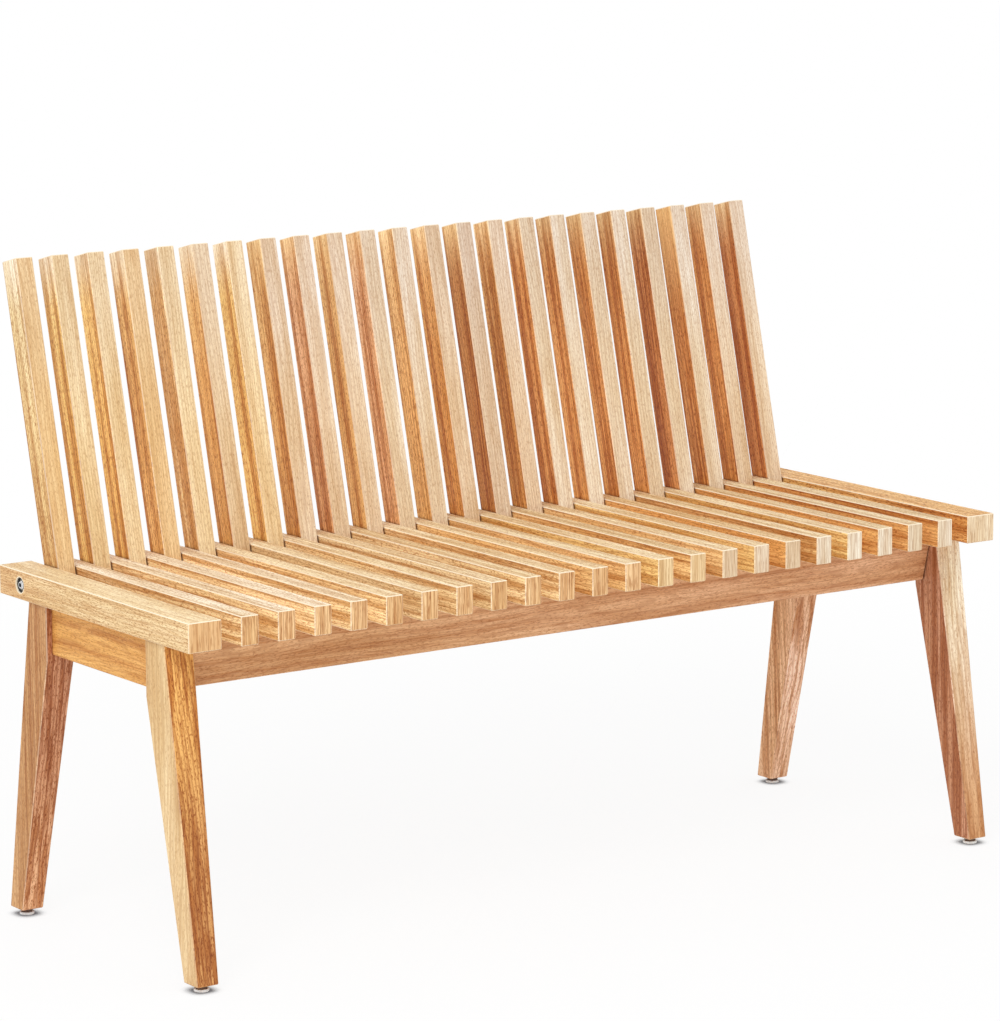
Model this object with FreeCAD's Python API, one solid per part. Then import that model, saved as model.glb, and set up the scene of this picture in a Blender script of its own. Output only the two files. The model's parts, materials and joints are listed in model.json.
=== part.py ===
"""Convertible slatted bench: a garden bench whose back slats fold down into a flat table top.

Seat slats and back slats alternate along one steel axle.  Each back slat turns on the axle by
itself.  Upright, its tail bears on the bevelled rear apron; folded forward, it lies level with
the seat slats, on top of both long aprons.

Units are millimetres.  +X runs along the bench, -Y is the front, +Z is up.  The origin is on the
floor, under the middle of the bench's bounding box.
"""
import FreeCAD, Part
import math
import os
from FreeCAD import Vector

# Overall sizes
overall_width = 1200.0
bench_depth = 440.0
seat_height = 433.4

# Seat and back slats, all from one section of timber, with the same gap beside each back slat
seat_slat_count = 22
slat_gap = 1.3
slat_height = 35.0
rail_width = 44.0
arris = 1.0

# Back
recline_angle = 13.7
axle_setback = 50.0
fold_clearance = 0.3

# Axle, spacers and end fittings
axle_diameter = 10.0
running_clearance = 0.06
fixed_bore_sides = 24
spacer_sides = 6
spacer_across_flats = 18.0
side_play = 0.1
tapped_hole_diameter = 6.0
tapped_hole_depth = 18.0
axle_end_gap = 0.5
recess_diameter = 19.0
recess_depth = 5.2
washer_diameter = 18.0
washer_bore = 6.4
washer_thickness = 1.6
bolt_head_diameter = 10.5
bolt_head_height = 3.3
bolt_head_bevel = 1.4
bolt_shank_length = 16.0
socket_across_flats = 4.0
socket_depth = 2.0

# Aprons
apron_height = 60.0
apron_top_thickness = 32.0
shoulder_gap = 0.5
side_apron_inset = 8.0
side_apron_thickness = 20.0
tenon_thickness = 10.0
tenon_shoulder = 8.0
tenon_inner_shoulder = 3.0
long_tenon_depth = 12.0
side_tenon_depth = 15.0

# Legs
leg_inset = 4.5
leg_top_width = 38.8
leg_foot_width = 28.8
leg_top_depth = 41.3
leg_foot_depth = 29.8
knee_drop = 8.0
rail_tenon_width = 12.0
rail_tenon_length = 24.0
rail_tenon_height = 16.0

# Collars and glides under the feet
collar_across_flats = 13.0
collar_height = 5.2
glide_diameter = 18.0
glide_thickness = 2.8

# Worked-out levels and places
recline = math.radians(recline_angle)
slat_bottom = seat_height - slat_height
apron_bottom = slat_bottom - apron_height
knee_level = apron_bottom - knee_drop
foot_level = glide_thickness + collar_height
half_width = overall_width / 2
half_depth = bench_depth / 2
axle_from_middle = half_depth - axle_setback
axle_level = seat_height - slat_height / 2
back_slat_thickness = slat_height - 2 * fold_clearance
back_reach = axle_from_middle + half_depth
back_tail = axle_setback

# The box of the whole bench runs from the seat's front edge to the back's top rear edge
back_edge_from_middle = (
    axle_from_middle
    + (back_reach - arris) * math.sin(recline)
    + back_slat_thickness / 2 * math.cos(recline)
)
middle_y = -(back_edge_from_middle - half_depth) / 2
front_edge = middle_y - half_depth
rear_edge = middle_y + half_depth
axle_y = middle_y + axle_from_middle

# Pattern of slats along the bench
back_slat_count = seat_slat_count + 1
inner_width = overall_width - 2 * rail_width
slat_width = (inner_width - 2 * back_slat_count * slat_gap) / (seat_slat_count + back_slat_count)
slot_width = slat_width + 2 * slat_gap
slat_pitch = slat_width + slot_width
first_slot = -half_width + rail_width
spacer_thickness = slat_gap - 2 * side_play

# The rear apron's bevel lies along the front faces of the upright back slats, and the front
# apron is the same board turned round
bevel_from_axle = slat_height / 2
apron_top_outer = axle_from_middle - (
    bevel_from_axle + (axle_level - slat_bottom) * math.sin(recline)
) / math.cos(recline)
apron_bottom_outer = apron_top_outer - apron_height * math.tan(recline)
apron_inner_face = apron_top_outer - apron_top_thickness

# Legs, worked out for the right front corner and mirrored
leg_outer_x = half_width - leg_inset
leg_top_inner_x = leg_outer_x - leg_top_width
leg_foot_inner_x = leg_outer_x - leg_foot_width
side_apron_outer_x = leg_outer_x - side_apron_inset
side_apron_middle_x = side_apron_outer_x - side_apron_thickness / 2
long_tenon_middle = apron_inner_face + tenon_inner_shoulder + tenon_thickness / 2
long_apron_half_length = leg_top_inner_x - shoulder_gap
tenon_top = slat_bottom - tenon_shoulder
tenon_bottom = apron_bottom + tenon_shoulder

bore_radius = axle_diameter / 2 + running_clearance
rail_tenon_offset = apron_inner_face + leg_top_depth / 2
rail_tenon_x = leg_outer_x - leg_top_width / 2
foot_centre_x = leg_outer_x - leg_foot_width / 2
foot_centre_offset = half_depth - leg_foot_depth / 2


def block(x_range, y_range, z_range):
    """A box between three pairs of limits."""
    low = Vector(x_range[0], y_range[0], z_range[0])
    return Part.makeBox(
        x_range[1] - x_range[0], y_range[1] - y_range[0], z_range[1] - z_range[0], low
    )


def eased_block(x_range, y_range, z_range):
    """A length of timber with every arris taken off."""
    timber = block(x_range, y_range, z_range)
    return timber.makeChamfer(arris, timber.Edges)


def prism(points, direction):
    """A straight prism on a closed outline."""
    return Part.Face(Part.makePolygon(points + points[:1])).extrude(direction)


def bar_along_x(radius, start_x, end_x):
    """A round bar on the axle's line."""
    return Part.makeCylinder(
        radius, end_x - start_x, Vector(start_x, axle_y, axle_level), Vector(1, 0, 0)
    )


def regular_bar(sides, across_flats, start_x, end_x):
    """A bar of regular section, such as a hexagon, on the axle's line."""
    corner_radius = across_flats / 2 / math.cos(math.pi / sides)
    corners = [
        Vector(
            start_x,
            axle_y + corner_radius * math.cos(2 * math.pi * corner / sides),
            axle_level + corner_radius * math.sin(2 * math.pi * corner / sides),
        )
        for corner in range(sides)
    ]
    return prism(corners, Vector(end_x - start_x, 0, 0))


def mirrored_x(shape):
    """The same piece for the other end of the bench."""
    return shape.mirror(Vector(0, 0, 0), Vector(1, 0, 0))


def mirrored_y(shape):
    """The same piece for the rear of the bench."""
    return shape.mirror(Vector(0, middle_y, 0), Vector(0, 1, 0))


def seat_slat_left_edge(number):
    """The low X side of seat slat 1, 2, 3 and so on."""
    return first_slot + slot_width + (number - 1) * slat_pitch


def back_slat_left_edge(number):
    """The low X side of back slat 1, 2, 3 and so on, centred in its slot."""
    return first_slot + (number - 1) * slat_pitch + slat_gap


def seat_slat(number):
    """A fixed slat, with a many-sided hole just clear of the axle, which doesn't turn in it."""
    left = seat_slat_left_edge(number)
    right = left + slat_width
    slat = eased_block((left, right), (front_edge, rear_edge), (slat_bottom, seat_height))
    return slat.cut(regular_bar(fixed_bore_sides, 2 * bore_radius, left, right))


def back_slat(number):
    """A slat that turns on the axle, with its tail below the bore."""
    left = back_slat_left_edge(number)
    right = left + slat_width
    half_thickness = back_slat_thickness / 2
    slat = eased_block(
        (left, right),
        (axle_y - half_thickness, axle_y + half_thickness),
        (axle_level - back_tail, axle_level + back_reach),
    )
    slat = slat.cut(bar_along_x(bore_radius, left, right))
    slat.rotate(Vector(0, axle_y, axle_level), Vector(1, 0, 0), -recline_angle)
    return slat


def end_rail():
    """The right-hand end rail: axle bore, recess for the washer and bolt, and two mortises."""
    inner_x = half_width - rail_width
    rail = eased_block((inner_x, half_width), (front_edge, rear_edge), (slat_bottom, seat_height))
    tenon = rail_tenon()
    holes = [
        bar_along_x(bore_radius, inner_x, half_width),
        bar_along_x(recess_diameter / 2, half_width - recess_depth, half_width),
        tenon,
        mirrored_y(tenon),
    ]
    return rail.cut(holes)


def long_tenon():
    """The tenon at the right-hand end of the front apron."""
    centre = middle_y - long_tenon_middle
    return block(
        (long_apron_half_length, leg_top_inner_x + long_tenon_depth),
        (centre - tenon_thickness / 2, centre + tenon_thickness / 2),
        (tenon_bottom, tenon_top),
    )


def side_tenon():
    """The tenon at the front end of the right-hand side apron."""
    shoulder = middle_y - apron_inner_face
    return block(
        (side_apron_middle_x - tenon_thickness / 2, side_apron_middle_x + tenon_thickness / 2),
        (shoulder - side_tenon_depth, shoulder),
        (tenon_bottom, tenon_top),
    )


def rail_tenon():
    """The tenon on top of the right front leg, which holds the end rail."""
    centre = middle_y - rail_tenon_offset
    return block(
        (rail_tenon_x - rail_tenon_width / 2, rail_tenon_x + rail_tenon_width / 2),
        (centre - rail_tenon_length / 2, centre + rail_tenon_length / 2),
        (slat_bottom, slat_bottom + rail_tenon_height),
    )


def front_apron():
    """The long front apron, bevelled on its outer face, with a tenon at each end."""
    start = -long_apron_half_length
    outline = [
        Vector(start, middle_y - apron_inner_face, slat_bottom),
        Vector(start, middle_y - apron_inner_face, apron_bottom + arris),
        Vector(start, middle_y - apron_inner_face - arris, apron_bottom),
        Vector(start, middle_y - apron_bottom_outer + arris, apron_bottom),
        Vector(
            start,
            middle_y - apron_bottom_outer - arris * math.tan(recline),
            apron_bottom + arris,
        ),
        Vector(start, middle_y - apron_top_outer, slat_bottom),
    ]
    board = prism(outline, Vector(2 * long_apron_half_length, 0, 0))
    tenon = long_tenon()
    return board.fuse([tenon, mirrored_x(tenon)])


def side_apron():
    """The right-hand side apron between the two legs, with a tenon at each end."""
    inner_x = side_apron_outer_x - side_apron_thickness
    board = block(
        (inner_x, side_apron_outer_x),
        (middle_y - apron_inner_face, middle_y + apron_inner_face),
        (apron_bottom, slat_bottom),
    )
    lower_edges = [
        edge
        for edge in board.Edges
        if edge.BoundBox.ZMax < apron_bottom + arris and edge.BoundBox.YLength > arris
    ]
    board = board.makeChamfer(arris, lower_edges)
    tenon = side_tenon()
    return board.fuse([tenon, mirrored_y(tenon)])


def front_leg():
    """The right front leg: upright inside down to the knee, then splayed, and tapered both ways."""
    top = slat_bottom
    outer_top = middle_y - apron_inner_face - leg_top_depth
    side_view = [
        Vector(0, outer_top, top),
        Vector(0, middle_y - apron_inner_face, top),
        Vector(0, middle_y - apron_inner_face, knee_level),
        Vector(0, front_edge + leg_foot_depth, foot_level),
        Vector(0, front_edge, foot_level),
    ]
    front_view = [
        Vector(leg_top_inner_x, front_edge, top),
        Vector(leg_outer_x, front_edge, top),
        Vector(leg_outer_x, front_edge, foot_level),
        Vector(leg_foot_inner_x, front_edge, foot_level),
    ]
    leg = prism(side_view, Vector(half_width, 0, 0))
    leg = leg.common(prism(front_view, Vector(0, half_depth, 0)))
    exposed_edges = [edge for edge in leg.Edges if edge.BoundBox.ZMin < knee_level + arris]
    leg = leg.makeChamfer(arris, exposed_edges)
    return leg.cut([long_tenon(), side_tenon()]).fuse(rail_tenon())


def front_collar():
    """The hexagonal collar between the right front leg and its glide."""
    corner_radius = collar_across_flats / 2 / math.cos(math.pi / 6)
    corners = [
        Vector(
            foot_centre_x + corner_radius * math.cos(math.pi / 3 * corner),
            middle_y - foot_centre_offset + corner_radius * math.sin(math.pi / 3 * corner),
            glide_thickness,
        )
        for corner in range(6)
    ]
    return prism(corners, Vector(0, 0, collar_height))


def front_glide():
    """The right front glide, a round pad under the collar."""
    centre = Vector(foot_centre_x, middle_y - foot_centre_offset, 0)
    return Part.makeCylinder(glide_diameter / 2, glide_thickness, centre)


def all_corners(shape):
    """A right front piece repeated at the four corners of the bench."""
    right = [shape, mirrored_y(shape)]
    return right + [mirrored_x(piece) for piece in right]


def axle_rod():
    """The steel rod through every slat, tapped at both ends."""
    end = half_width - recess_depth - axle_end_gap
    rod = bar_along_x(axle_diameter / 2, -end, end)
    tapped = bar_along_x(tapped_hole_diameter / 2, end - tapped_hole_depth, end)
    return rod.cut([tapped, mirrored_x(tapped)])


def end_washer():
    """The washer on the floor of the right-hand rail's recess."""
    seat = half_width - recess_depth
    washer = bar_along_x(washer_diameter / 2, seat, seat + washer_thickness)
    return washer.cut(bar_along_x(washer_bore / 2, seat, seat + washer_thickness))


def end_bolt():
    """The bevelled-head bolt with a hexagon socket, screwed into the rod's right-hand end."""
    under_head = half_width - recess_depth + washer_thickness
    face = under_head + bolt_head_height
    head = bar_along_x(bolt_head_diameter / 2, under_head, face)
    face_edge = [edge for edge in head.Edges if edge.BoundBox.XMin > face - bolt_head_bevel]
    head = head.makeChamfer(bolt_head_bevel, face_edge)
    shank = bar_along_x(tapped_hole_diameter / 2, under_head - bolt_shank_length, under_head)
    return head.fuse(shank).cut(regular_bar(6, socket_across_flats, face - socket_depth, face))


def spacer(start_x):
    """A hexagonal ring on the axle that keeps a back slat off its neighbour."""
    end_x = start_x + spacer_thickness
    ring = regular_bar(spacer_sides, spacer_across_flats, start_x, end_x)
    return ring.cut(regular_bar(spacer_sides, 2 * bore_radius, start_x, end_x))


def all_spacers():
    """Two rings for each back slat, one on each side."""
    rings = []
    for number in range(1, back_slat_count + 1):
        left = back_slat_left_edge(number)
        rings.append(spacer(left - side_play - spacer_thickness))
        rings.append(spacer(left + slat_width + side_play))
    return rings


def build():
    """Every sub-part of the bench by name."""
    parts = {}
    for number in range(1, seat_slat_count + 1):
        parts[f"seat_slat_{number:02d}"] = seat_slat(number)
    for number in range(1, back_slat_count + 1):
        parts[f"back_slat_{number:02d}"] = back_slat(number)
    rail = end_rail()
    parts["end_rail_right"] = rail
    parts["end_rail_left"] = mirrored_x(rail)
    apron = front_apron()
    parts["apron_front"] = apron
    parts["apron_rear"] = mirrored_y(apron)
    side = side_apron()
    parts["apron_right"] = side
    parts["apron_left"] = mirrored_x(side)
    leg_names = ["leg_front_right", "leg_rear_right", "leg_front_left", "leg_rear_left"]
    parts.update(zip(leg_names, all_corners(front_leg())))
    parts["foot_collars"] = Part.makeCompound(all_corners(front_collar()))
    parts["foot_glides"] = Part.makeCompound(all_corners(front_glide()))
    parts["axle_rod"] = axle_rod()
    fittings = [end_washer(), end_bolt()]
    fittings += [mirrored_x(fitting) for fitting in fittings]
    parts["axle_end_fittings"] = Part.makeCompound(fittings)
    parts["axle_spacers"] = Part.makeCompound(all_spacers())
    return parts


os.makedirs("parts", exist_ok=True)
for name, shape in build().items():
    shape.exportStep(f"parts/{name}.step")
    print(f"{name}: {len(shape.Solids)} solids, valid {shape.isValid()}, {shape.Volume / 1000:.1f} cm3")
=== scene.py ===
# %% [markdown]
# # A slatted bench that folds flat
#
# The real bench is oiled hardwood: square slats, four tapered legs, and a back that folds down
# between the seat slats.  The solids come from the CAD model, so this lesson is about the looks:
# how boards sawn from one kind of timber can all differ, how their grain follows their length,
# and how plain studio light shows them.
#
# Every solid keeps its place and its mesh, and only gets a material.

# %% Load the frame
import json
import math
import bpy
from mathutils import Matrix, Vector


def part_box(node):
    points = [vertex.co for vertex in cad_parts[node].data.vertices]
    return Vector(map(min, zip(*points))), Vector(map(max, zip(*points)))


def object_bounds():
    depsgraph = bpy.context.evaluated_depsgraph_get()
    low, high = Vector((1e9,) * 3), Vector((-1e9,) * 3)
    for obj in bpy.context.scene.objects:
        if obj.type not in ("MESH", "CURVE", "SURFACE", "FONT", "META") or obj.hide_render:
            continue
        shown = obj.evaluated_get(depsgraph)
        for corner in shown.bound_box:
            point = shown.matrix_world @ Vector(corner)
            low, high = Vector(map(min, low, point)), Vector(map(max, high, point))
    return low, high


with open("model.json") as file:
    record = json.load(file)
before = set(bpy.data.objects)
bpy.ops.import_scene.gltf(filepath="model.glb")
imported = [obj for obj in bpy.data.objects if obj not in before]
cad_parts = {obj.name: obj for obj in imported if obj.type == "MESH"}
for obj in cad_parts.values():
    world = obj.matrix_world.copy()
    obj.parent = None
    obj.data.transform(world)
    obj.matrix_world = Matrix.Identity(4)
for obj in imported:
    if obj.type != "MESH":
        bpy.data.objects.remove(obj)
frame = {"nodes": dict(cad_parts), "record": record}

cad_low, cad_high = [list(corner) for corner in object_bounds()]
nodes = frame["nodes"]
joints = frame["record"]["behaviour"]["joints"]
recline = math.radians(joints[0]["range_deg"][1] - 90)
seat_slats = sorted(name for name in nodes if name.startswith("seat_slat"))
back_slats = sorted(name for name in nodes if name.startswith("back_slat"))
print(len(seat_slats), "seat slats and", len(back_slats), "back slats")
print("the back leans", round(math.degrees(recline), 1), "degrees")

# %% [markdown]
# ## Camera
#
# The product picture was taken with a long lens from the left front corner, a little above the
# seat.  A camera can be turned by hand until it looks right, but here its direction, roll and
# place were measured from the slats' corners, so the values are set directly.  The lens is given
# for a sensor as wide as the longer side of the picture.

# %% Camera
picture_height = 1021
focal_pixels = 4371.1
sensor_width = 36.0
far_limit = 100.0
camera_azimuth = math.radians(-35.037)
camera_elevation = math.radians(10.104)
camera_roll = math.radians(-0.184)
camera_place = Vector((-3.07595, -4.39157, 1.41932))


def camera_axes(azimuth, elevation, roll):
    """The camera's right, up and backward directions."""
    back = Vector((
        math.sin(azimuth) * math.cos(elevation),
        -math.cos(azimuth) * math.cos(elevation),
        math.sin(elevation),
    ))
    level_right = (-back).cross(Vector((0, 0, 1))).normalized()
    level_up = level_right.cross(-back)
    right = math.cos(roll) * level_right + math.sin(roll) * level_up
    up = -math.sin(roll) * level_right + math.cos(roll) * level_up
    return right, up, back


def make_camera():
    """The camera at the photograph's place and angle."""
    data = bpy.data.cameras.new("photo_camera")
    data.sensor_width = sensor_width
    data.lens = focal_pixels / picture_height * sensor_width
    data.clip_end = far_limit
    camera = bpy.data.objects.new("photo_camera", data)
    bpy.context.collection.objects.link(camera)
    axes = camera_axes(camera_azimuth, camera_elevation, camera_roll)
    camera.matrix_world = Matrix.Translation(camera_place) @ Matrix(axes).transposed().to_4x4()
    bpy.context.scene.camera = camera
    return camera


camera = make_camera()
print("lens", round(camera.data.lens, 1), "mm")

# %% [markdown]
# ## Small helpers for shader nodes
#
# Materials made in code are easier to read when a node and its links are one call.  A value that
# is itself an output socket gets a link, and any other value is written on the input.

# %% Node helpers
def feed(tree, socket, value):
    """Links an output socket to the input, or sets a plain value on it."""
    if isinstance(value, bpy.types.NodeSocket):
        tree.links.new(value, socket)
    else:
        socket.default_value = value


def add_node(tree, kind, inputs=None, **settings):
    """A new node with its settings and inputs."""
    node = tree.nodes.new("ShaderNode" + kind)
    for name, value in settings.items():
        setattr(node, name, value)
    for name, value in (inputs or {}).items():
        feed(tree, node.inputs[name], value)
    return node


def calculate(tree, operation, *values, clamp=False):
    """A Math node's result."""
    node = add_node(tree, "Math", operation=operation, use_clamp=clamp)
    for socket, value in zip(node.inputs, values):
        feed(tree, socket, value)
    return node.outputs[0]


def ramp_between(tree, value, low, high, out_low=0.0, out_high=1.0):
    """The value taken smoothly from one range to another."""
    inputs = {"Value": value, "From Min": low, "From Max": high, "To Min": out_low, "To Max": out_high}
    return add_node(tree, "MapRange", inputs, interpolation_type="SMOOTHSTEP").outputs["Result"]


def blend_colours(tree, share, first, second, blend_type="MIX"):
    """Two colours blended by a share from 0 to 1, at a Mix node's sockets for colours."""
    node = add_node(tree, "Mix", data_type="RGBA", blend_type=blend_type)
    for number, value in ((0, share), (6, first), (7, second)):
        feed(tree, node.inputs[number], value)
    return node.outputs[2]


def blend_numbers(tree, share, first, second):
    """Two numbers blended by a share from 0 to 1, at a Mix node's sockets for numbers."""
    node = add_node(tree, "Mix", data_type="FLOAT")
    for number, value in ((0, share), (2, first), (3, second)):
        feed(tree, node.inputs[number], value)
    return node.outputs[0]


def new_group(name, inputs, outputs):
    """An empty node group with named sockets, and its input and output nodes."""
    tree = bpy.data.node_groups.new(name, "ShaderNodeTree")
    for socket_name, kind in inputs.items():
        tree.interface.new_socket(socket_name, in_out="INPUT", socket_type="NodeSocket" + kind)
    for socket_name, kind in outputs.items():
        tree.interface.new_socket(socket_name, in_out="OUTPUT", socket_type="NodeSocket" + kind)
    return tree, tree.nodes.new("NodeGroupInput").outputs, tree.nodes.new("NodeGroupOutput").inputs


def place_group(tree, group, inputs):
    """The group's outputs, with its inputs linked or set."""
    node = tree.nodes.new("ShaderNodeGroup")
    node.node_tree = group
    for name, value in inputs.items():
        feed(tree, node.inputs[name], value)
    return node.outputs


# %% [markdown]
# ## Board coordinates
#
# Grain runs along a board, whichever way the board lies.  Unwrapping every board would do, but a
# solid texture is simpler and shows true end grain.  This group turns the object's own coordinates
# so that the board's length lies along X.  A seed moves each board to its own place in the
# texture, so that no two boards share a pattern.
#
# The surface's direction is turned in the same way.  It tells the sawn sides of a board, which
# face along its Y, and its ends, which face along its X, from its faces.  The place that comes
# out is in grain terms: length, then across the surface, then into the wood.  That way every
# surface shows fine lines along the board.  On an end the pattern is drawn out upwards, which
# gives the upright lines of boards that were sawn across the growth rings.

# %% Board coordinates
sawn_limits = 0.6, 0.8
seed_step = 1.7
end_squeeze = 0.12


def make_board_group():
    """Place in the board's own directions, with X along the grain, and masks for its surfaces."""
    tree, given, result = new_group(
        "board coordinates",
        {"Turn": "Vector", "Seed": "Float"},
        {"Place": "Vector", "Length": "Float", "Facing": "Vector", "Side": "Float", "End": "Float"},
    )
    source = add_node(tree, "TexCoord").outputs
    turned = add_node(
        tree, "VectorRotate", {"Vector": source["Object"], "Rotation": given["Turn"]},
        rotation_type="EULER_XYZ",
    )
    place = add_node(tree, "SeparateXYZ", {"Vector": turned.outputs[0]}).outputs
    facing = add_node(
        tree, "VectorRotate", {"Vector": source["Normal"], "Rotation": given["Turn"]},
        rotation_type="EULER_XYZ",
    )
    size = add_node(tree, "VectorMath", operation="ABSOLUTE")
    feed(tree, size.inputs[0], facing.outputs[0])
    axes = add_node(tree, "SeparateXYZ", {"Vector": size.outputs[0]}).outputs
    side = ramp_between(tree, axes["Y"], *sawn_limits)
    end = ramp_between(tree, axes["X"], *sawn_limits)
    inward = blend_numbers(tree, side, place["Z"], place["Y"])
    grain_place = add_node(
        tree, "CombineXYZ",
        {
            "X": calculate(tree, "MULTIPLY_ADD", given["Seed"], seed_step, place["X"]),
            "Y": blend_numbers(tree, side, place["Y"], place["Z"]),
            "Z": calculate(tree, "MULTIPLY", inward, blend_numbers(tree, end, 1.0, end_squeeze)),
        },
    )
    feed(tree, result["Place"], grain_place.outputs[0])
    feed(tree, result["Length"], place["X"])
    feed(tree, result["Facing"], size.outputs[0])
    feed(tree, result["Side"], side)
    feed(tree, result["End"], end)
    return tree


board_group = make_board_group()
print("made", board_group.name)

# %% [markdown]
# ## Wood grain
#
# Five things show on these boards.  Growth rings are wavy lines a few millimetres apart, each
# darkening slowly and then stopping short.  Stripes are broad bands that run the whole length.
# Streaks are a millimetre or two wide and a few centimetres long.  Dashes are the pores, short and
# dark.  Slow clouds change the tone along the board.  A wave texture could give the rings, but a
# saw-tooth of the place across the board, bent by a noise, has their sharp edge.  The others are
# noises stretched along the grain, given as cells per metre and by the part of their range that is
# used.  The group gives each as a mask, so that a material decides how strongly it shows.

# %% Wood grain
ring_bend_cells = 2.2, 18.0, 18.0
ring_darkens = 0.35, 0.9
ring_stops = 0.92, 1.0
stripe_cells, stripe_range = (1.8, 120.0, 60.0), (0.34, 0.66)
streak_cells, streak_range = (26.0, 620.0, 140.0), (0.36, 0.64)
dash_cells, dash_range = (180.0, 780.0, 380.0), (0.52, 0.61)
cloud_cells, cloud_range = (4.0, 30.0, 30.0), (0.35, 0.65)
line_detail = 2.0
cloud_detail = 1.0
dash_roughness = 0.65
relief_share = -0.5


def stretched_noise(tree, place, stretch, detail, roughness=0.5):
    """A noise whose cells are stretched, given as cells per metre along X, Y and Z."""
    scaled = add_node(tree, "VectorMath", operation="MULTIPLY")
    feed(tree, scaled.inputs[0], place)
    feed(tree, scaled.inputs[1], stretch)
    inputs = {"Vector": scaled.outputs[0], "Scale": 1.0, "Detail": detail, "Roughness": roughness}
    return add_node(tree, "TexNoise", inputs).outputs["Fac"]


def make_grain_group():
    """Masks for rings, stripes, streaks, dashes and slow clouds."""
    tree, given, result = new_group(
        "wood grain",
        {"Place": "Vector", "Ring Scale": "Float", "Ring Bend": "Float"},
        {
            "Rings": "Float", "Stripes": "Float", "Streaks": "Float", "Dashes": "Float",
            "Clouds": "Float", "Height": "Float",
        },
    )
    place = given["Place"]
    bend = stretched_noise(tree, place, ring_bend_cells, line_detail)
    axes = add_node(tree, "SeparateXYZ", {"Vector": place}).outputs
    ring_place = calculate(tree, "MULTIPLY_ADD", bend, given["Ring Bend"], axes["Y"])
    phase = calculate(tree, "MULTIPLY", ring_place, given["Ring Scale"])
    saw = calculate(tree, "FRACT", phase)
    darkening = ramp_between(tree, saw, *ring_darkens)
    stopping = ramp_between(tree, saw, *ring_stops, 1.0, 0.0)
    stripes = stretched_noise(tree, place, stripe_cells, line_detail)
    streaks = stretched_noise(tree, place, streak_cells, line_detail)
    dashes = stretched_noise(tree, place, dash_cells, line_detail, dash_roughness)
    clouds = stretched_noise(tree, place, cloud_cells, cloud_detail)
    height = calculate(tree, "ADD", streaks, dashes)
    feed(tree, result["Rings"], calculate(tree, "MULTIPLY", darkening, stopping))
    feed(tree, result["Stripes"], ramp_between(tree, stripes, *stripe_range))
    feed(tree, result["Streaks"], ramp_between(tree, streaks, *streak_range))
    feed(tree, result["Dashes"], ramp_between(tree, dashes, *dash_range))
    feed(tree, result["Clouds"], ramp_between(tree, clouds, *cloud_range))
    feed(tree, result["Height"], calculate(tree, "MULTIPLY", height, relief_share))
    return tree


grain_group = make_grain_group()
print("made", grain_group.name)

# %% [markdown]
# ## Arris lines
#
# Every long edge of the boards was sanded off by about a millimetre.  That narrow bevel is paler
# than the faces, partly because sanding leaves it dry and partly as a painted highlight, and most
# of all on the upward-facing bevels, where it both wears and is painted as catching the light.
# The bevels are real faces in the solids, so a mask can come from the direction they face: no face
# of a board points between two of its own axes except a bevel.

# %% Arris lines
bevel_limits = 0.86, 0.94
# Upward-facing bevels are paler still, as wear and as a painted highlight.
wear_and_highlight_limits = -0.5, 0.6
least_wear_and_highlight = 0.2


def make_arris_group():
    """A mask that is 1 on the bevels along a board's edges."""
    tree, given, result = new_group("arris lines", {"Facing": "Vector"}, {"Mask": "Float"})
    axes = add_node(tree, "SeparateXYZ", {"Vector": given["Facing"]}).outputs
    largest = calculate(tree, "MAXIMUM", calculate(tree, "MAXIMUM", axes["X"], axes["Y"]), axes["Z"])
    bevel = ramp_between(tree, largest, *bevel_limits, 1.0, 0.0)
    upward = add_node(tree, "SeparateXYZ", {"Vector": add_node(tree, "TexCoord").outputs["Normal"]})
    # Painted highlight and wear, strongest on upward-facing bevels.
    wear_and_highlight = ramp_between(tree, upward.outputs["Z"], *wear_and_highlight_limits, least_wear_and_highlight, 1.0)
    feed(tree, result["Mask"], calculate(tree, "MULTIPLY", bevel, wear_and_highlight))
    return tree


arris_group = make_arris_group()
print("made", arris_group.name)

# %% [markdown]
# ## Wood colour
#
# Oiled hardwood goes from cream sapwood over honey to red-brown heartwood, and one board can show
# both on two of its surfaces.  So the group takes three tones: for the faces, the sawn sides and
# the ends.  Stripes and streaks move every tone between a paler and a deeper one, and deepening
# also makes it redder, because the oil sinks into the soft parts of the grain.  Ring lines and
# pores are then drawn in a dark red-brown.  Those lines would darken the board as a whole, so the
# ground is lifted first, and a board nearly keeps its tone at any contrast.  Where a board shifts to
# another tone along its length, its contrast goes down as well; on the back slats' tops that shift
# is painted light.  Most boards show stronger stripes on their sides than on their faces.  The
# bevels are made paler, partly as sanded wood and partly as a painted highlight, and the joints
# get painted shade.

# %% Wood colour
pale_tint = (1.26, 1.40, 1.47, 1)
deep_tint = (0.80, 0.62, 0.42, 1)
lift_tint = (1.24, 1.34, 1.42, 1)
line_tint = (0.50, 0.31, 0.18, 1)
# Painted shade in the joints between boards.
joint_shade_tint = (0.26, 0.11, 0.07, 1)
cool_tint = (1.07, 1.11, 1.17, 1)
warm_tint = (0.93, 0.88, 0.80, 1)
# Pale bevels: sanded wood and a painted highlight.
bevel_and_highlight_colour = (1.0, 0.89, 0.69, 1)
middle_depth = 0.4
streak_share = 0.4
pore_share = 0.75
lift_share = 0.42


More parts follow.
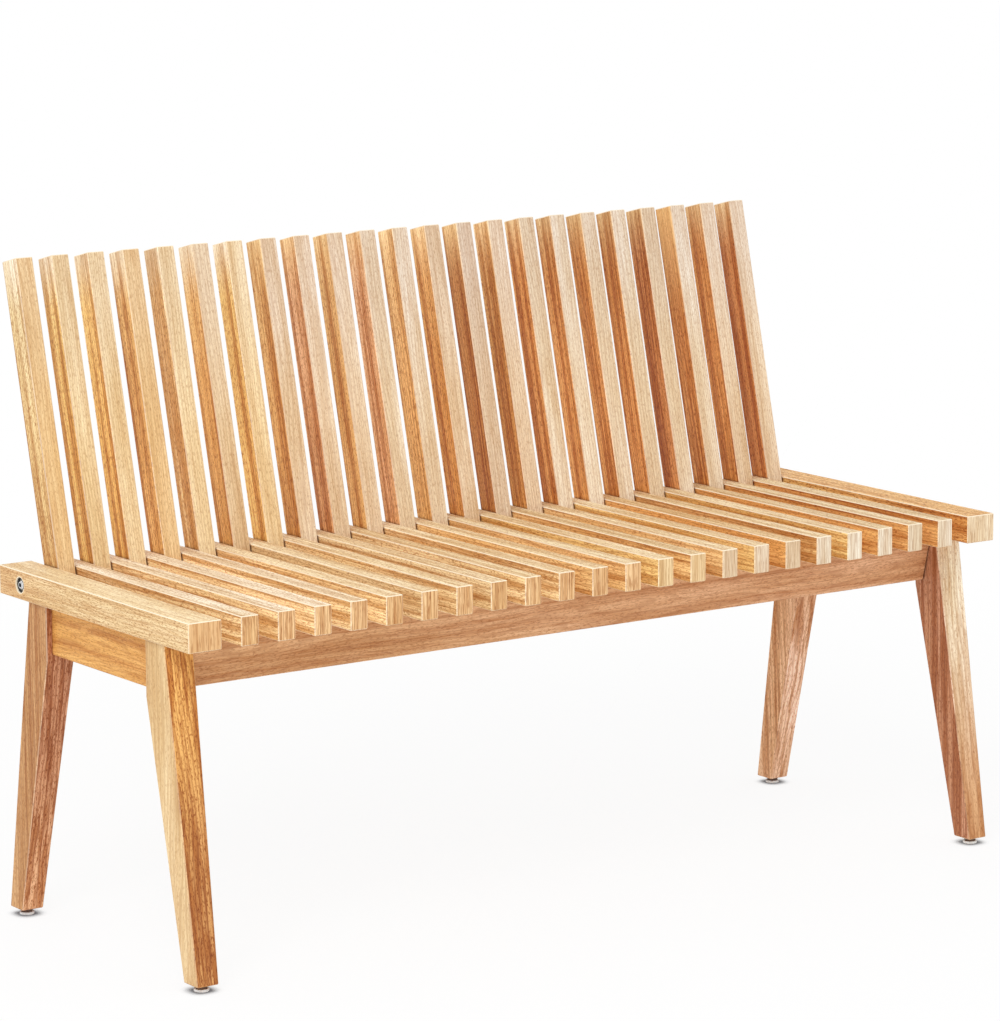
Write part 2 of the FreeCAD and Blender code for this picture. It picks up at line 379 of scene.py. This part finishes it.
def make_colour_group():
    """The board's colour from its three tones and the grain masks."""
    tree, given, result = new_group(
        "wood colour",
        {
            "Face Tone": "Color", "Side Tone": "Color", "End Tone": "Color", "Shift Tone": "Color",
            "Side": "Float", "End": "Float", "Arris": "Float", "Fade": "Float", "Joint Shade": "Float",
            "Rings": "Float", "Stripes": "Float", "Streaks": "Float", "Dashes": "Float",
            "Clouds": "Float", "Ring Share": "Float", "Face Stripes": "Float", "Side Stripes": "Float",
            "Face Contrast": "Float", "Side Contrast": "Float", "End Contrast": "Float",
            "Shift Contrast": "Float",
        },
        {"Colour": "Color"},
    )
    sawn = blend_colours(tree, given["Side"], given["Face Tone"], given["Side Tone"])
    # A shift to another tone along the board; on the back slats' tops it is painted light.
    shifted = blend_colours(tree, given["Fade"], sawn, given["Shift Tone"])
    ground = blend_colours(tree, given["End"], shifted, given["End Tone"])
    sawn_contrast = blend_numbers(tree, given["Side"], given["Face Contrast"], given["Side Contrast"])
    fresh_contrast = blend_numbers(tree, given["End"], sawn_contrast, given["End Contrast"])
    shift_contrast = blend_numbers(tree, given["Fade"], 1.0, given["Shift Contrast"])
    contrast = calculate(tree, "MULTIPLY", fresh_contrast, shift_contrast)
    stripes = calculate(tree, "SUBTRACT", given["Stripes"], 0.5)
    streaks = calculate(tree, "SUBTRACT", given["Streaks"], 0.5)
    stripe_share = blend_numbers(tree, given["Side"], given["Face Stripes"], given["Side Stripes"])
    streaked = calculate(tree, "MULTIPLY", streaks, streak_share)
    grain = calculate(tree, "MULTIPLY_ADD", stripes, stripe_share, streaked)
    depth = calculate(tree, "MULTIPLY_ADD", grain, contrast, middle_depth, clamp=True)
    pale = blend_colours(tree, 1.0, ground, pale_tint, "MULTIPLY")
    deep = blend_colours(tree, 1.0, ground, deep_tint, "MULTIPLY")
    grained = blend_colours(tree, depth, pale, deep)
    tint = blend_colours(tree, given["Clouds"], cool_tint, warm_tint)
    tinted = blend_colours(tree, 1.0, grained, tint, "MULTIPLY")
    lift = calculate(tree, "MULTIPLY", contrast, lift_share, clamp=True)
    lifted = blend_colours(tree, lift, tinted, lift_tint, "MULTIPLY")
    ring_lines = calculate(tree, "MULTIPLY", given["Rings"], given["Ring Share"])
    pores = calculate(tree, "MULTIPLY", given["Dashes"], pore_share)
    lines = calculate(tree, "MAXIMUM", ring_lines, pores)
    line_share = calculate(tree, "MULTIPLY", lines, contrast, clamp=True)
    lined = blend_colours(tree, line_share, lifted, line_tint, "MULTIPLY")
    # Bevels paler, as sanded wood and as a painted highlight.
    edged = blend_colours(tree, given["Arris"], lined, bevel_and_highlight_colour)
    # Painted shade where boards meet.
    feed(tree, result["Colour"], blend_colours(tree, given["Joint Shade"], edged, joint_shade_tint, "MULTIPLY"))
    return tree


colour_group = make_colour_group()
print("made", colour_group.name)

# %% [markdown]
# ## Tones of timber
#
# The boards of one bench come from several logs.  Rather than one colour with random shifts, each
# board gets named tones, listed one by one, so the striking boards sit where they do on the real
# bench.  Every kind of board has its own first seed, and no two boards share one.

# %% Tones
tones = {
    "butter": (0.93, 0.69, 0.40, 1),
    "ivory": (0.81, 0.64, 0.46, 1),
    "cream": (0.75, 0.60, 0.45, 1),
    "sand": (0.71, 0.53, 0.37, 1),
    "straw": (0.79, 0.60, 0.37, 1),
    "wheat": (0.73, 0.54, 0.32, 1),
    "dune": (0.64, 0.47, 0.33, 1),
    "fawn": (0.67, 0.48, 0.30, 1),
    "honey": (0.71, 0.48, 0.25, 1),
    "peach": (0.82, 0.50, 0.34, 1),
    "apricot": (0.75, 0.42, 0.23, 1),
    "biscuit": (0.68, 0.40, 0.19, 1),
    "toffee": (0.86, 0.60, 0.32, 1),
    "caramel": (0.75, 0.44, 0.18, 1),
    "gold": (0.83, 0.54, 0.21, 1),
    "amber": (0.72, 0.42, 0.17, 1),
    "ochre": (0.64, 0.30, 0.08, 1),
    "saddle": (0.58, 0.29, 0.13, 1),
    "clay": (0.65, 0.33, 0.17, 1),
    "copper": (0.67, 0.32, 0.10, 1),
    "russet": (0.63, 0.28, 0.08, 1),
    "brick": (0.57, 0.23, 0.07, 1),
    "tan": (0.51, 0.25, 0.10, 1),
    "chestnut": (0.48, 0.20, 0.06, 1),
    "umber": (0.48, 0.21, 0.11, 1),
}
quarter_turn = math.pi / 2
lengthways = {
    "along x": (0.0, 0.0, 0.0),
    "along y": (0.0, 0.0, -quarter_turn),
    "along z": (quarter_turn, 0.0, quarter_turn),
    "leaning": (quarter_turn + recline, 0.0, quarter_turn),
}
first_seeds = {"seat": 1, "rails": 41, "back": 61, "legs": 90, "aprons": 100}
print("tones:", ", ".join(tones))

# %% [markdown]
# ## Distance from the axle
#
# Two painted marks depend on how far a point is from the axle's middle line: the rings of painted
# highlight and shade on the turned washer and bolt, and the painted shade inside the hole that they
# sit in.  A gradient texture could be moved and scaled to fit, but the plain length of the offset is
# easier to read.

# %% Distance from the axle
axle_place = (0.0, *joints[0]["pos_m"][1:])


def make_axle_group():
    """How far a point is from the axle's middle line, in metres."""
    tree, _, result = new_group("axle distance", {}, {"Distance": "Float"})
    place = add_node(tree, "TexCoord").outputs["Object"]
    offset = add_node(tree, "VectorMath", operation="SUBTRACT")
    feed(tree, offset.inputs[0], place)
    feed(tree, offset.inputs[1], axle_place)
    crosswise = add_node(tree, "VectorMath", operation="MULTIPLY")
    feed(tree, crosswise.inputs[0], offset.outputs[0])
    feed(tree, crosswise.inputs[1], (0.0, 1.0, 1.0))
    length = add_node(tree, "VectorMath", operation="LENGTH")
    feed(tree, length.inputs[0], crosswise.outputs[0])
    feed(tree, result["Distance"], length.outputs["Value"])
    return tree


axle_group = make_axle_group()
print("made", axle_group.name, "around", axle_place)

# %% [markdown]
# ## A board's material
#
# One function makes the material of any board.  The groups do the shared work, and what stays in
# the material is the shader itself: a Principled BSDF with the low, broad sheen of oiled wood.  A
# bump from the grain's height breaks that sheen up without changing the outline.
#
# An ambient occlusion node darkens the last few millimetres where two boards meet: that is painted
# shade in the joints.  Along its length, a board may drift between two tints, which on the back
# slats is painted light and shade, and it may shift to another tone with less contrast, which on
# their tops is painted light.  The end rails also show the round hole in which the bolt sits, with
# painted shade inside it and a pale rim that is partly a painted highlight.

# %% Board material
# Painted shade in the joints, from ambient occlusion.
joint_shade_reach = 0.006
joint_shade_range = 0.1, 0.8
joint_shade_share = 0.92
joint_shade_samples = 6
wood_roughness = 0.5, 0.66
wood_sheen = 0.35
wood_bump = {"Strength": 0.3, "Distance": 0.0006}
# The bolt's hole: painted shade inside, and a pale rim as a painted highlight.
hole_reach = 0.0096, 0.0099
hole_depth = 0.0021, 0.0013
hole_shade_colour = (0.07, 0.07, 0.07, 1)
rim_reach = 0.0103, 0.0109
rim_highlight_share = 0.8


def tone_inputs(tree, timber, length, light_drift):
    """The tones of a board's faces, sides and ends, with painted light and shade along the board if it
    drifts.
    """
    face, side, end = (tones[tone] for tone in timber)
    inputs = {"Face Tone": face, "Side Tone": side, "End Tone": end}
    if light_drift:
        low, high, tints = light_drift
        height = ramp_between(tree, length, low, high)
        for tone, (low_tint, high_tint) in tints.items():
            tint = blend_colours(tree, height, low_tint, high_tint)
            inputs[tone] = blend_colours(tree, 1.0, inputs[tone], tint, "MULTIPLY")
    return inputs


def shift_inputs(tree, board, shift, shift_contrast):
    """The tone that a board shifts to, how far it has done so, and the contrast left there."""
    tone, begins, finishes, surfaces = shift
    share = ramp_between(tree, board["Length"], begins, finishes)
    faces = calculate(tree, "SUBTRACT", 1.0, board["Side"])
    masks = {"all": 1.0, "sides": board["Side"], "faces": faces}
    shifted = calculate(tree, "MULTIPLY", share, masks[surfaces])
    return {"Fade": shifted, "Shift Tone": tones[tone], "Shift Contrast": shift_contrast}


def show_hole(tree, colour):
    """The colour with the bolt's hole added: a pale rim, partly a painted highlight, and painted shade
    inside.
    """
    from_axle = place_group(tree, axle_group, {})["Distance"]
    place = add_node(tree, "SeparateXYZ", {"Vector": add_node(tree, "TexCoord").outputs["Object"]})
    outwards = calculate(tree, "ABSOLUTE", place.outputs["X"])
    deep_from, deep_to = (cad_high[0] - depth for depth in hole_depth)
    deep = ramp_between(tree, outwards, deep_from, deep_to, 1.0, 0.0)
    inside = ramp_between(tree, from_axle, *hole_reach, 1.0, 0.0)
    rim = ramp_between(tree, from_axle, *rim_reach, rim_highlight_share, 0.0)
    rimmed = blend_colours(tree, rim, colour, bevel_and_highlight_colour)
    return blend_colours(tree, calculate(tree, "MULTIPLY", deep, inside), rimmed, hole_shade_colour)


def board_material(name, timber, direction, seed, contrast, edge, rings=(240.0, 0.45, 0.045),
                   stripes=(0.45, 1.1), shift=None, shift_contrast=1.0, light_drift=None):
    """An oiled board.

    timber names the tones of its faces, sides and ends, and contrast is the grain's strength on
    each of them.  edge is how much the bevels stand out, as pale wood and painted highlight.  rings
    is the count of growth rings per metre, their strength and how far they bend, in metres.
    stripes is the broad bands' strength on faces and sides.  shift names the tone that the board
    shifts to, the two places along it where that begins and ends, and which surfaces do so: all,
    sides or faces; on the back slats' tops it is painted light.  shift_contrast is the share of the
    contrast that is left there.  light_drift gives two places along the board, and for each tone
    the tints that it has at the first and at the second, as painted light and shade.
    """
    material = bpy.data.materials.new(name)
    material.use_nodes = True
    tree = material.node_tree
    shader = tree.nodes["Principled BSDF"]
    rings_per_metre, ring_share, ring_bend = rings
    board = place_group(tree, board_group, {"Turn": lengthways[direction], "Seed": seed})
    grain_inputs = {"Place": board["Place"], "Ring Scale": rings_per_metre, "Ring Bend": ring_bend}
    grain = place_group(tree, grain_group, grain_inputs)
    arris = place_group(tree, arris_group, {"Facing": board["Facing"]})
    # Ambient occlusion for the painted shade in the joints.
    shade_near_joints = add_node(tree, "AmbientOcclusion", {"Distance": joint_shade_reach}, samples=joint_shade_samples)
    inputs = tone_inputs(tree, timber, board["Length"], light_drift)
    inputs.update({mask: board[mask] for mask in ("Side", "End")})
    inputs.update({mask: grain[mask] for mask in ("Rings", "Stripes", "Streaks", "Dashes", "Clouds")})
    inputs.update(zip(("Face Contrast", "Side Contrast", "End Contrast"), contrast))
    inputs.update(zip(("Face Stripes", "Side Stripes"), stripes))
    inputs["Ring Share"] = ring_share
    inputs["Arris"] = calculate(tree, "MULTIPLY", arris["Mask"], edge)
    inputs["Joint Shade"] = ramp_between(tree, shade_near_joints.outputs["AO"], *joint_shade_range, joint_shade_share, 0.0)
    if shift:
        inputs.update(shift_inputs(tree, board, shift, shift_contrast))
    colour = place_group(tree, colour_group, inputs)["Colour"]
    if name.startswith("end_rail"):
        colour = show_hole(tree, colour)
    feed(tree, shader.inputs["Base Color"], colour)
    roughness = ramp_between(tree, grain["Streaks"], 0.0, 1.0, *wood_roughness)
    feed(tree, shader.inputs["Roughness"], roughness)
    bump = add_node(tree, "Bump", {"Height": grain["Height"], **wood_bump})
    feed(tree, shader.inputs["Normal"], bump.outputs["Normal"])
    shader.inputs["Specular IOR Level"].default_value = wood_sheen
    return material


def dress(node_name, material):
    """Gives a CAD node its material."""
    for slot in nodes[node_name].material_slots:
        slot.material = material

# %% [markdown]
# ## Seat slats and end rails
#
# Their grain runs from front to back.  Their tops are pale, while their sides go from gold at the
# left to russet at the right.  Their ends are darker than their tops at the left, as end grain
# drinks more oil, and creamy at the right.

# %% Seat slats and end rails
seat_tops = [
    "ivory", "ivory", "ivory", "ivory", "straw", "straw", "straw", "straw", "straw", "straw", "straw",
    "wheat", "straw", "wheat", "straw", "straw", "honey", "straw", "straw", "wheat", "wheat", "wheat",
]
seat_sides = [
    "toffee", "toffee", "toffee", "butter", "toffee", "honey", "toffee", "honey", "toffee", "toffee",
    "caramel", "caramel", "gold", "caramel", "caramel", "gold", "copper", "caramel", "gold", "copper",
    "copper", "copper",
]
seat_ends = ["biscuit"] * 12 + ["honey"] * 2 + ["sand"] * 3 + ["cream"] * 5
grain_contrast = 1.1
pale_end_contrast = 0.7
for number, name in enumerate(seat_slats):
    timber = seat_tops[number], seat_sides[number], seat_ends[number]
    end_contrast = grain_contrast if seat_ends[number] == "biscuit" else pale_end_contrast
    contrast = grain_contrast, grain_contrast, end_contrast
    seed = first_seeds["seat"] + number
    dress(name, board_material(name, timber, "along y", seed, contrast, edge=0.8))
rails = {
    "end_rail_left": {
        "timber": ("straw", "honey", "biscuit"), "contrast": (0.9, 1.1, 0.8),
        "stripes": (0.35, 0.3), "shift": ("biscuit", 0.0, 0.3, "sides"),
    },
    "end_rail_right": {
        "timber": ("caramel", "gold", "ivory"), "contrast": (1.5, 1.4, 0.9),
        "stripes": (0.35, 0.5), "shift": ("russet", 0.1, -0.2, "sides"),
    },
}
rail_rings = 210.0, 0.3, 0.045
for number, (name, look) in enumerate(rails.items()):
    seed = first_seeds["rails"] + number
    dress(name, board_material(name, direction="along y", seed=seed, edge=0.85, rings=rail_rings, **look))
print("dressed", len(seat_slats) + len(rails), "boards of the seat")

# %% [markdown]
# ## Back slats
#
# The back is where the timber varies most.  Its faces go from straw to cream.  Its sides start
# golden at the left and turn to russet and brick from the middle on.  Along each slat the tones
# drift as painted light and shade: the faces a little darker near the top, the golden sides deeper
# towards the seat and the russet ones a little deeper near the top.  Near the top, all the sides
# are also painted paler, as light where the neighbouring slats no longer shade them, those at the
# left almost to ivory.

# %% Back slats
back_faces = [
    "honey", "wheat", "wheat", "honey", "wheat", "fawn", "straw", "sand", "sand", "sand", "cream", "cream",
    "sand", "dune", "sand", "cream", "cream", "cream", "cream", "cream", "cream", "sand", "sand",
]
back_sides = [
    "honey", "gold", "gold", "amber", "butter", "amber", "gold", "amber", "apricot", "amber", "apricot",
    "amber", "copper", "chestnut", "copper", "russet", "copper", "copper", "russet", "brick", "russet",
    "russet", "brick",
]
# The tones that the sides shift to near the top: painted light.
back_top_tones = ["ivory"] * 7 + ["toffee"] * 8 + ["honey"] * 5 + ["caramel"] + ["honey"] * 2
top_light_below_top = {
    "ivory": (0.085, 0.005), "toffee": (0.09, -0.02), "honey": (0.09, -0.02), "caramel": (0.18, 0.04),
}
# Painted light and shade drifting along each slat.
light_drift_below_top = 0.26, 0.04
face_light_tints = (1.04, 1.02, 0.97, 1), (0.95, 0.95, 1.0, 1)
golden_light_tints = (0.97, 0.89, 0.72, 1), (1.02, 1.07, 1.10, 1)
russet_light_tints = (1.04, 1.02, 1.0, 1), (0.98, 0.95, 0.92, 1)
back_grain = {"contrast": (0.68, 1.3, 0.7), "stripes": (0.3, 1.1), "edge": 0.6, "shift_contrast": 0.55}
top_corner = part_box(back_slats[0])[1]
back_top = top_corner.y * math.sin(recline) + top_corner.z * math.cos(recline)
light_drift_from, light_drift_to = (back_top - distance for distance in light_drift_below_top)
for number, name in enumerate(back_slats):
    face, side, shifted = back_faces[number], back_sides[number], back_top_tones[number]
    side_light_tints = golden_light_tints if shifted in ("ivory", "toffee") else russet_light_tints
    top_light_from, top_light_to = (back_top - distance for distance in top_light_below_top[shifted])
    shift = shifted, top_light_from, top_light_to, "sides"
    light_drift = light_drift_from, light_drift_to, {"Face Tone": face_light_tints, "Side Tone": side_light_tints}
    look = {"timber": (face, side, face), "shift": shift, "light_drift": light_drift, **back_grain}
    seed = first_seeds["back"] + number
    dress(name, board_material(name, direction="leaning", seed=seed, **look))
print("dressed", len(back_slats), "back slats, top at", round(back_top, 3), "m along them")

# %% [markdown]
# ## Legs and aprons
#
# Each leg stands with its grain upright, and the front legs show how far one piece of timber can
# change between two of its surfaces.  Three of the legs change tone towards the floor, and the
# rear right one towards the seat.  The aprons are darker boards laid on edge, and their rings bend
# most of all, as on a board that was sawn along the side of its log.

# %% Legs and aprons
leg_boards = {
    "leg_front_left": {
        "tones": ("ochre", "honey"), "contrast": (1.35, 0.6, 1.0), "edge": 0.25,
        "stripes": (1.2, 0.5), "shift": ("chestnut", 0.36, 0.10, "faces"),
    },
    "leg_rear_left": {
        "tones": ("umber", "tan"), "contrast": (1.5, 0.9, 1.0), "edge": 0.6,
        "stripes": (0.9, 0.8), "shift": ("clay", 0.25, 0.0, "faces"),
    },
    "leg_front_right": {
        "tones": ("ivory", "umber"), "contrast": (0.75, 1.1, 1.0), "edge": 0.15,
        "stripes": (0.8, 1.8), "shift": ("saddle", 0.36, 0.04, "faces"),
    },
    "leg_rear_right": {
        "tones": ("peach", "apricot"), "contrast": (1.1, 1.1, 1.0), "edge": 0.3,
        "stripes": (1.2, 1.0), "shift": ("clay", 0.12, 0.33, "faces"),
    },
}
leg_rings = 150.0, 0.5, 0.06
for number, (name, look) in enumerate(leg_boards.items()):
    face, side = look.pop("tones")
    seed = first_seeds["legs"] + number
    dress(name, board_material(name, (face, side, face), "along z", seed, rings=leg_rings, **look))
apron_boards = {
    "apron_front": ("saddle", "along x", ("clay", -0.5, 0.4, "all")),
    "apron_rear": ("clay", "along x", None),
    "apron_left": ("ochre", "along y", None),
    "apron_right": ("ochre", "along y", None),
}
apron_grain = {"contrast": (2.2, 0.8, 1.0), "rings": (110.0, 0.4, 0.2), "stripes": (0.35, 0.8), "edge": 0.3}
for number, (name, (tone, direction, shift)) in enumerate(apron_boards.items()):
    timber = tone, tone, tone
    seed = first_seeds["aprons"] + number
    dress(name, board_material(name, timber, direction, seed, shift=shift, **apron_grain))
print("dressed", len(leg_boards), "legs and", len(apron_boards), "aprons")

# %% [markdown]
# ## Metal, nylon and plastic
#
# The axle and its fittings are stainless steel.  The rod is drawn, so it has fine lines along its
# length.  Washer and bolt are turned, and their colour is painted in rings: a bright rim, a dark
# groove, the bolt's bright bevel and the dark socket in its middle, which are painted highlights
# and painted shade.  The spacers are dark nylon and the collars under the legs dark brown plastic,
# with white nylon pads below.  Moulded plastic is faintly mottled and not quite matt.

# %% Drawn and turned steel
drawn_roughness = 0.3
turned_roughness = 0.25
drawn_cells = 20.0, 2500.0, 2500.0
drawn_detail = 3.0
drawn_range = 0.3, 0.7
drawn_shades = (0.5, 0.5, 0.5, 1), (0.66, 0.66, 0.66, 1)
ring_reach = 0.01
# Painted highlights and painted shade, as rings about the axle.
ring_highlights_and_shade = [
    (0.0, 0.01), (0.26, 0.01), (0.32, 0.95), (0.42, 0.45), (0.50, 0.95), (0.58, 0.22), (0.76, 0.18),
    (0.86, 0.8),
]


def steel_shader(name, roughness):
    """A new material for bare metal, with its node tree and shader."""
    material = bpy.data.materials.new(name)
    material.use_nodes = True
    shader = material.node_tree.nodes["Principled BSDF"]
    shader.inputs["Metallic"].default_value = 1.0
    shader.inputs["Roughness"].default_value = roughness
    return material, material.node_tree, shader


def drawn_steel():
    """Steel bar with fine lines along its length."""
    material, tree, shader = steel_shader("drawn_steel", drawn_roughness)
    place = add_node(tree, "TexCoord").outputs["Object"]
    lines = stretched_noise(tree, place, drawn_cells, drawn_detail)
    shade = ramp_between(tree, lines, *drawn_range)
    feed(tree, shader.inputs["Base Color"], blend_colours(tree, shade, *drawn_shades))
    return material


def turned_steel():
    """Steel turned on a lathe, with painted highlights and painted shade in rings about the axle."""
    material, tree, shader = steel_shader("turned_steel", turned_roughness)
    from_axle = place_group(tree, axle_group, {})["Distance"]
    rings = add_node(tree, "ValToRGB", {"Fac": calculate(tree, "MULTIPLY", from_axle, 1 / ring_reach)})
    ramp = rings.color_ramp
    ramp.interpolation = "EASE"
    ramp.elements.remove(ramp.elements[0])
    ramp.elements[0].position = 0.0
    for position, shade in ring_highlights_and_shade:
        element = ramp.elements.new(position) if position else ramp.elements[0]
        element.color = (shade, shade, shade, 1)
    feed(tree, shader.inputs["Base Color"], rings.outputs["Color"])
    return material


dress("axle_rod", drawn_steel())
dress("axle_end_fittings", turned_steel())
print("dressed the axle and its end fittings")

# %% Moulded plastic
mottle_cells = 900.0, 900.0, 900.0
mottle_detail = 3.0
mottle_range = 0.3, 0.7
roughness_spread = 0.15
mottle_bump = {"Strength": 0.15, "Distance": 0.0002}
plastics = {
    "axle_spacers": ("spacer_nylon", (0.05, 0.04, 0.03, 1), (0.08, 0.06, 0.05, 1), 0.5),
    "foot_collars": ("collar_plastic", (0.10, 0.05, 0.03, 1), (0.15, 0.08, 0.05, 1), 0.45),
    "foot_glides": ("glide_nylon", (0.85, 0.85, 0.84, 1), (0.93, 0.93, 0.92, 1), 0.4),
}


def plastic_material(name, base, light, smooth):
    """Moulded plastic with a faint mottle between two tones."""
    material = bpy.data.materials.new(name)
    material.use_nodes = True
    tree = material.node_tree
    shader = tree.nodes["Principled BSDF"]
    place = add_node(tree, "TexCoord").outputs["Object"]
    mottle = stretched_noise(tree, place, mottle_cells, mottle_detail)
    feed(tree, shader.inputs["Base Color"], blend_colours(tree, mottle, base, light))
    roughness = ramp_between(tree, mottle, *mottle_range, smooth, smooth + roughness_spread)
    feed(tree, shader.inputs["Roughness"], roughness)
    bump = add_node(tree, "Bump", {"Height": mottle, **mottle_bump})
    feed(tree, shader.inputs["Normal"], bump.outputs["Normal"])
    return material


for node_name, finish in plastics.items():
    dress(node_name, plastic_material(*finish))
print("dressed", ", ".join(plastics))

# %% [markdown]
# ## Floor and light
#
# The picture has a white background with only faint shadows at the feet.  A very bright floor
# would do that, but it would also light the bench from below.  Instead, the camera sees mostly a
# plain white from the floor, mixed with a little of the lit floor, and it's that little share
# which keeps the shadow.  Right under the feet, ambient occlusion darkens the white itself.
#
# The light is a white room, which is the world, and one large soft lamp from the camera's side.

# %% Floor
floor_size = 60.0
floor_tone = (0.93, 0.93, 0.93, 1)
floor_roughness = 0.9
contact_reach = 0.015
contact_samples = 12
contact_range = 0.25, 0.95
contact_shade = (0.05, 0.05, 0.06, 1)
white_reach = 0.9, 2.2
white_shares = 0.87, 1.0


def seen_directly(tree):
    """1 for what the camera sees, itself or in metal and glass."""
    path = add_node(tree, "LightPath").outputs
    shiny = calculate(tree, "MAXIMUM", path["Is Glossy Ray"], path["Is Transmission Ray"])
    return calculate(tree, "MAXIMUM", path["Is Camera Ray"], shiny)


def make_floor():
    """A pale floor that the camera sees as white, with the bench's shadow kept faint."""
    bpy.ops.mesh.primitive_plane_add(size=floor_size, location=(0, 0, 0))
    floor = bpy.context.object
    floor.name = "studio_floor"
    material = bpy.data.materials.new("studio_floor")
    material.use_nodes = True
    tree = material.node_tree
    shader = tree.nodes["Principled BSDF"]
    shader.inputs["Base Color"].default_value = floor_tone
    shader.inputs["Roughness"].default_value = floor_roughness
    shader.inputs["Specular IOR Level"].default_value = 0.0
    near = add_node(tree, "AmbientOcclusion", {"Distance": contact_reach}, samples=contact_samples)
    open_floor = ramp_between(tree, near.outputs["AO"], *contact_range)
    shade = blend_colours(tree, open_floor, contact_shade, (1, 1, 1, 1))
    white = add_node(tree, "Emission", {"Color": shade, "Strength": 1.0})
    from_bench = add_node(tree, "VectorMath", operation="LENGTH")
    feed(tree, from_bench.inputs[0], add_node(tree, "TexCoord").outputs["Object"])
    white_share = ramp_between(tree, from_bench.outputs["Value"], *white_reach, *white_shares)
    share = calculate(tree, "MULTIPLY", seen_directly(tree), white_share)
    mixed = add_node(tree, "MixShader", {"Fac": share})
    feed(tree, mixed.inputs[1], shader.outputs[0])
    feed(tree, mixed.inputs[2], white.outputs[0])
    feed(tree, tree.nodes["Material Output"].inputs["Surface"], mixed.outputs[0])
    floor.data.materials.append(material)
    return floor


print("floor", make_floor().name)

# %% World and lamp
room_light = 0.84
lamp_power = 95.0
lamp_size = 2.6
lamp_place = (-2.9, -2.6, 3.9)
lamp_target = (0, 0, 0.4)


def make_world():
    """An even white room, a little dimmer as a light than as a background."""
    world = bpy.data.worlds.new("white_room")
    world.use_nodes = True
    tree = world.node_tree
    background = tree.nodes["Background"]
    background.inputs["Color"].default_value = (1, 1, 1, 1)
    strength = ramp_between(tree, seen_directly(tree), 0.0, 1.0, room_light, 1.0)
    feed(tree, background.inputs["Strength"], strength)
    bpy.context.scene.world = world


def make_lamp():
    """A square soft box aimed at the bench."""
    data = bpy.data.lights.new("soft_box", "AREA")
    data.energy = lamp_power
    data.size = lamp_size
    lamp = bpy.data.objects.new("soft_box", data)
    bpy.context.collection.objects.link(lamp)
    lamp.location = lamp_place
    aim = Vector(lamp_target) - Vector(lamp_place)
    lamp.rotation_euler = aim.to_track_quat("-Z", "Y").to_euler()
    return lamp


make_world()
print("world", room_light, "and", make_lamp().name, lamp_power, "W")

# %% [markdown]
# ## Finish
#
# The standard view transform shows colours as they were chosen.

# %% Finish
bpy.context.scene.view_settings.view_transform = "Standard"
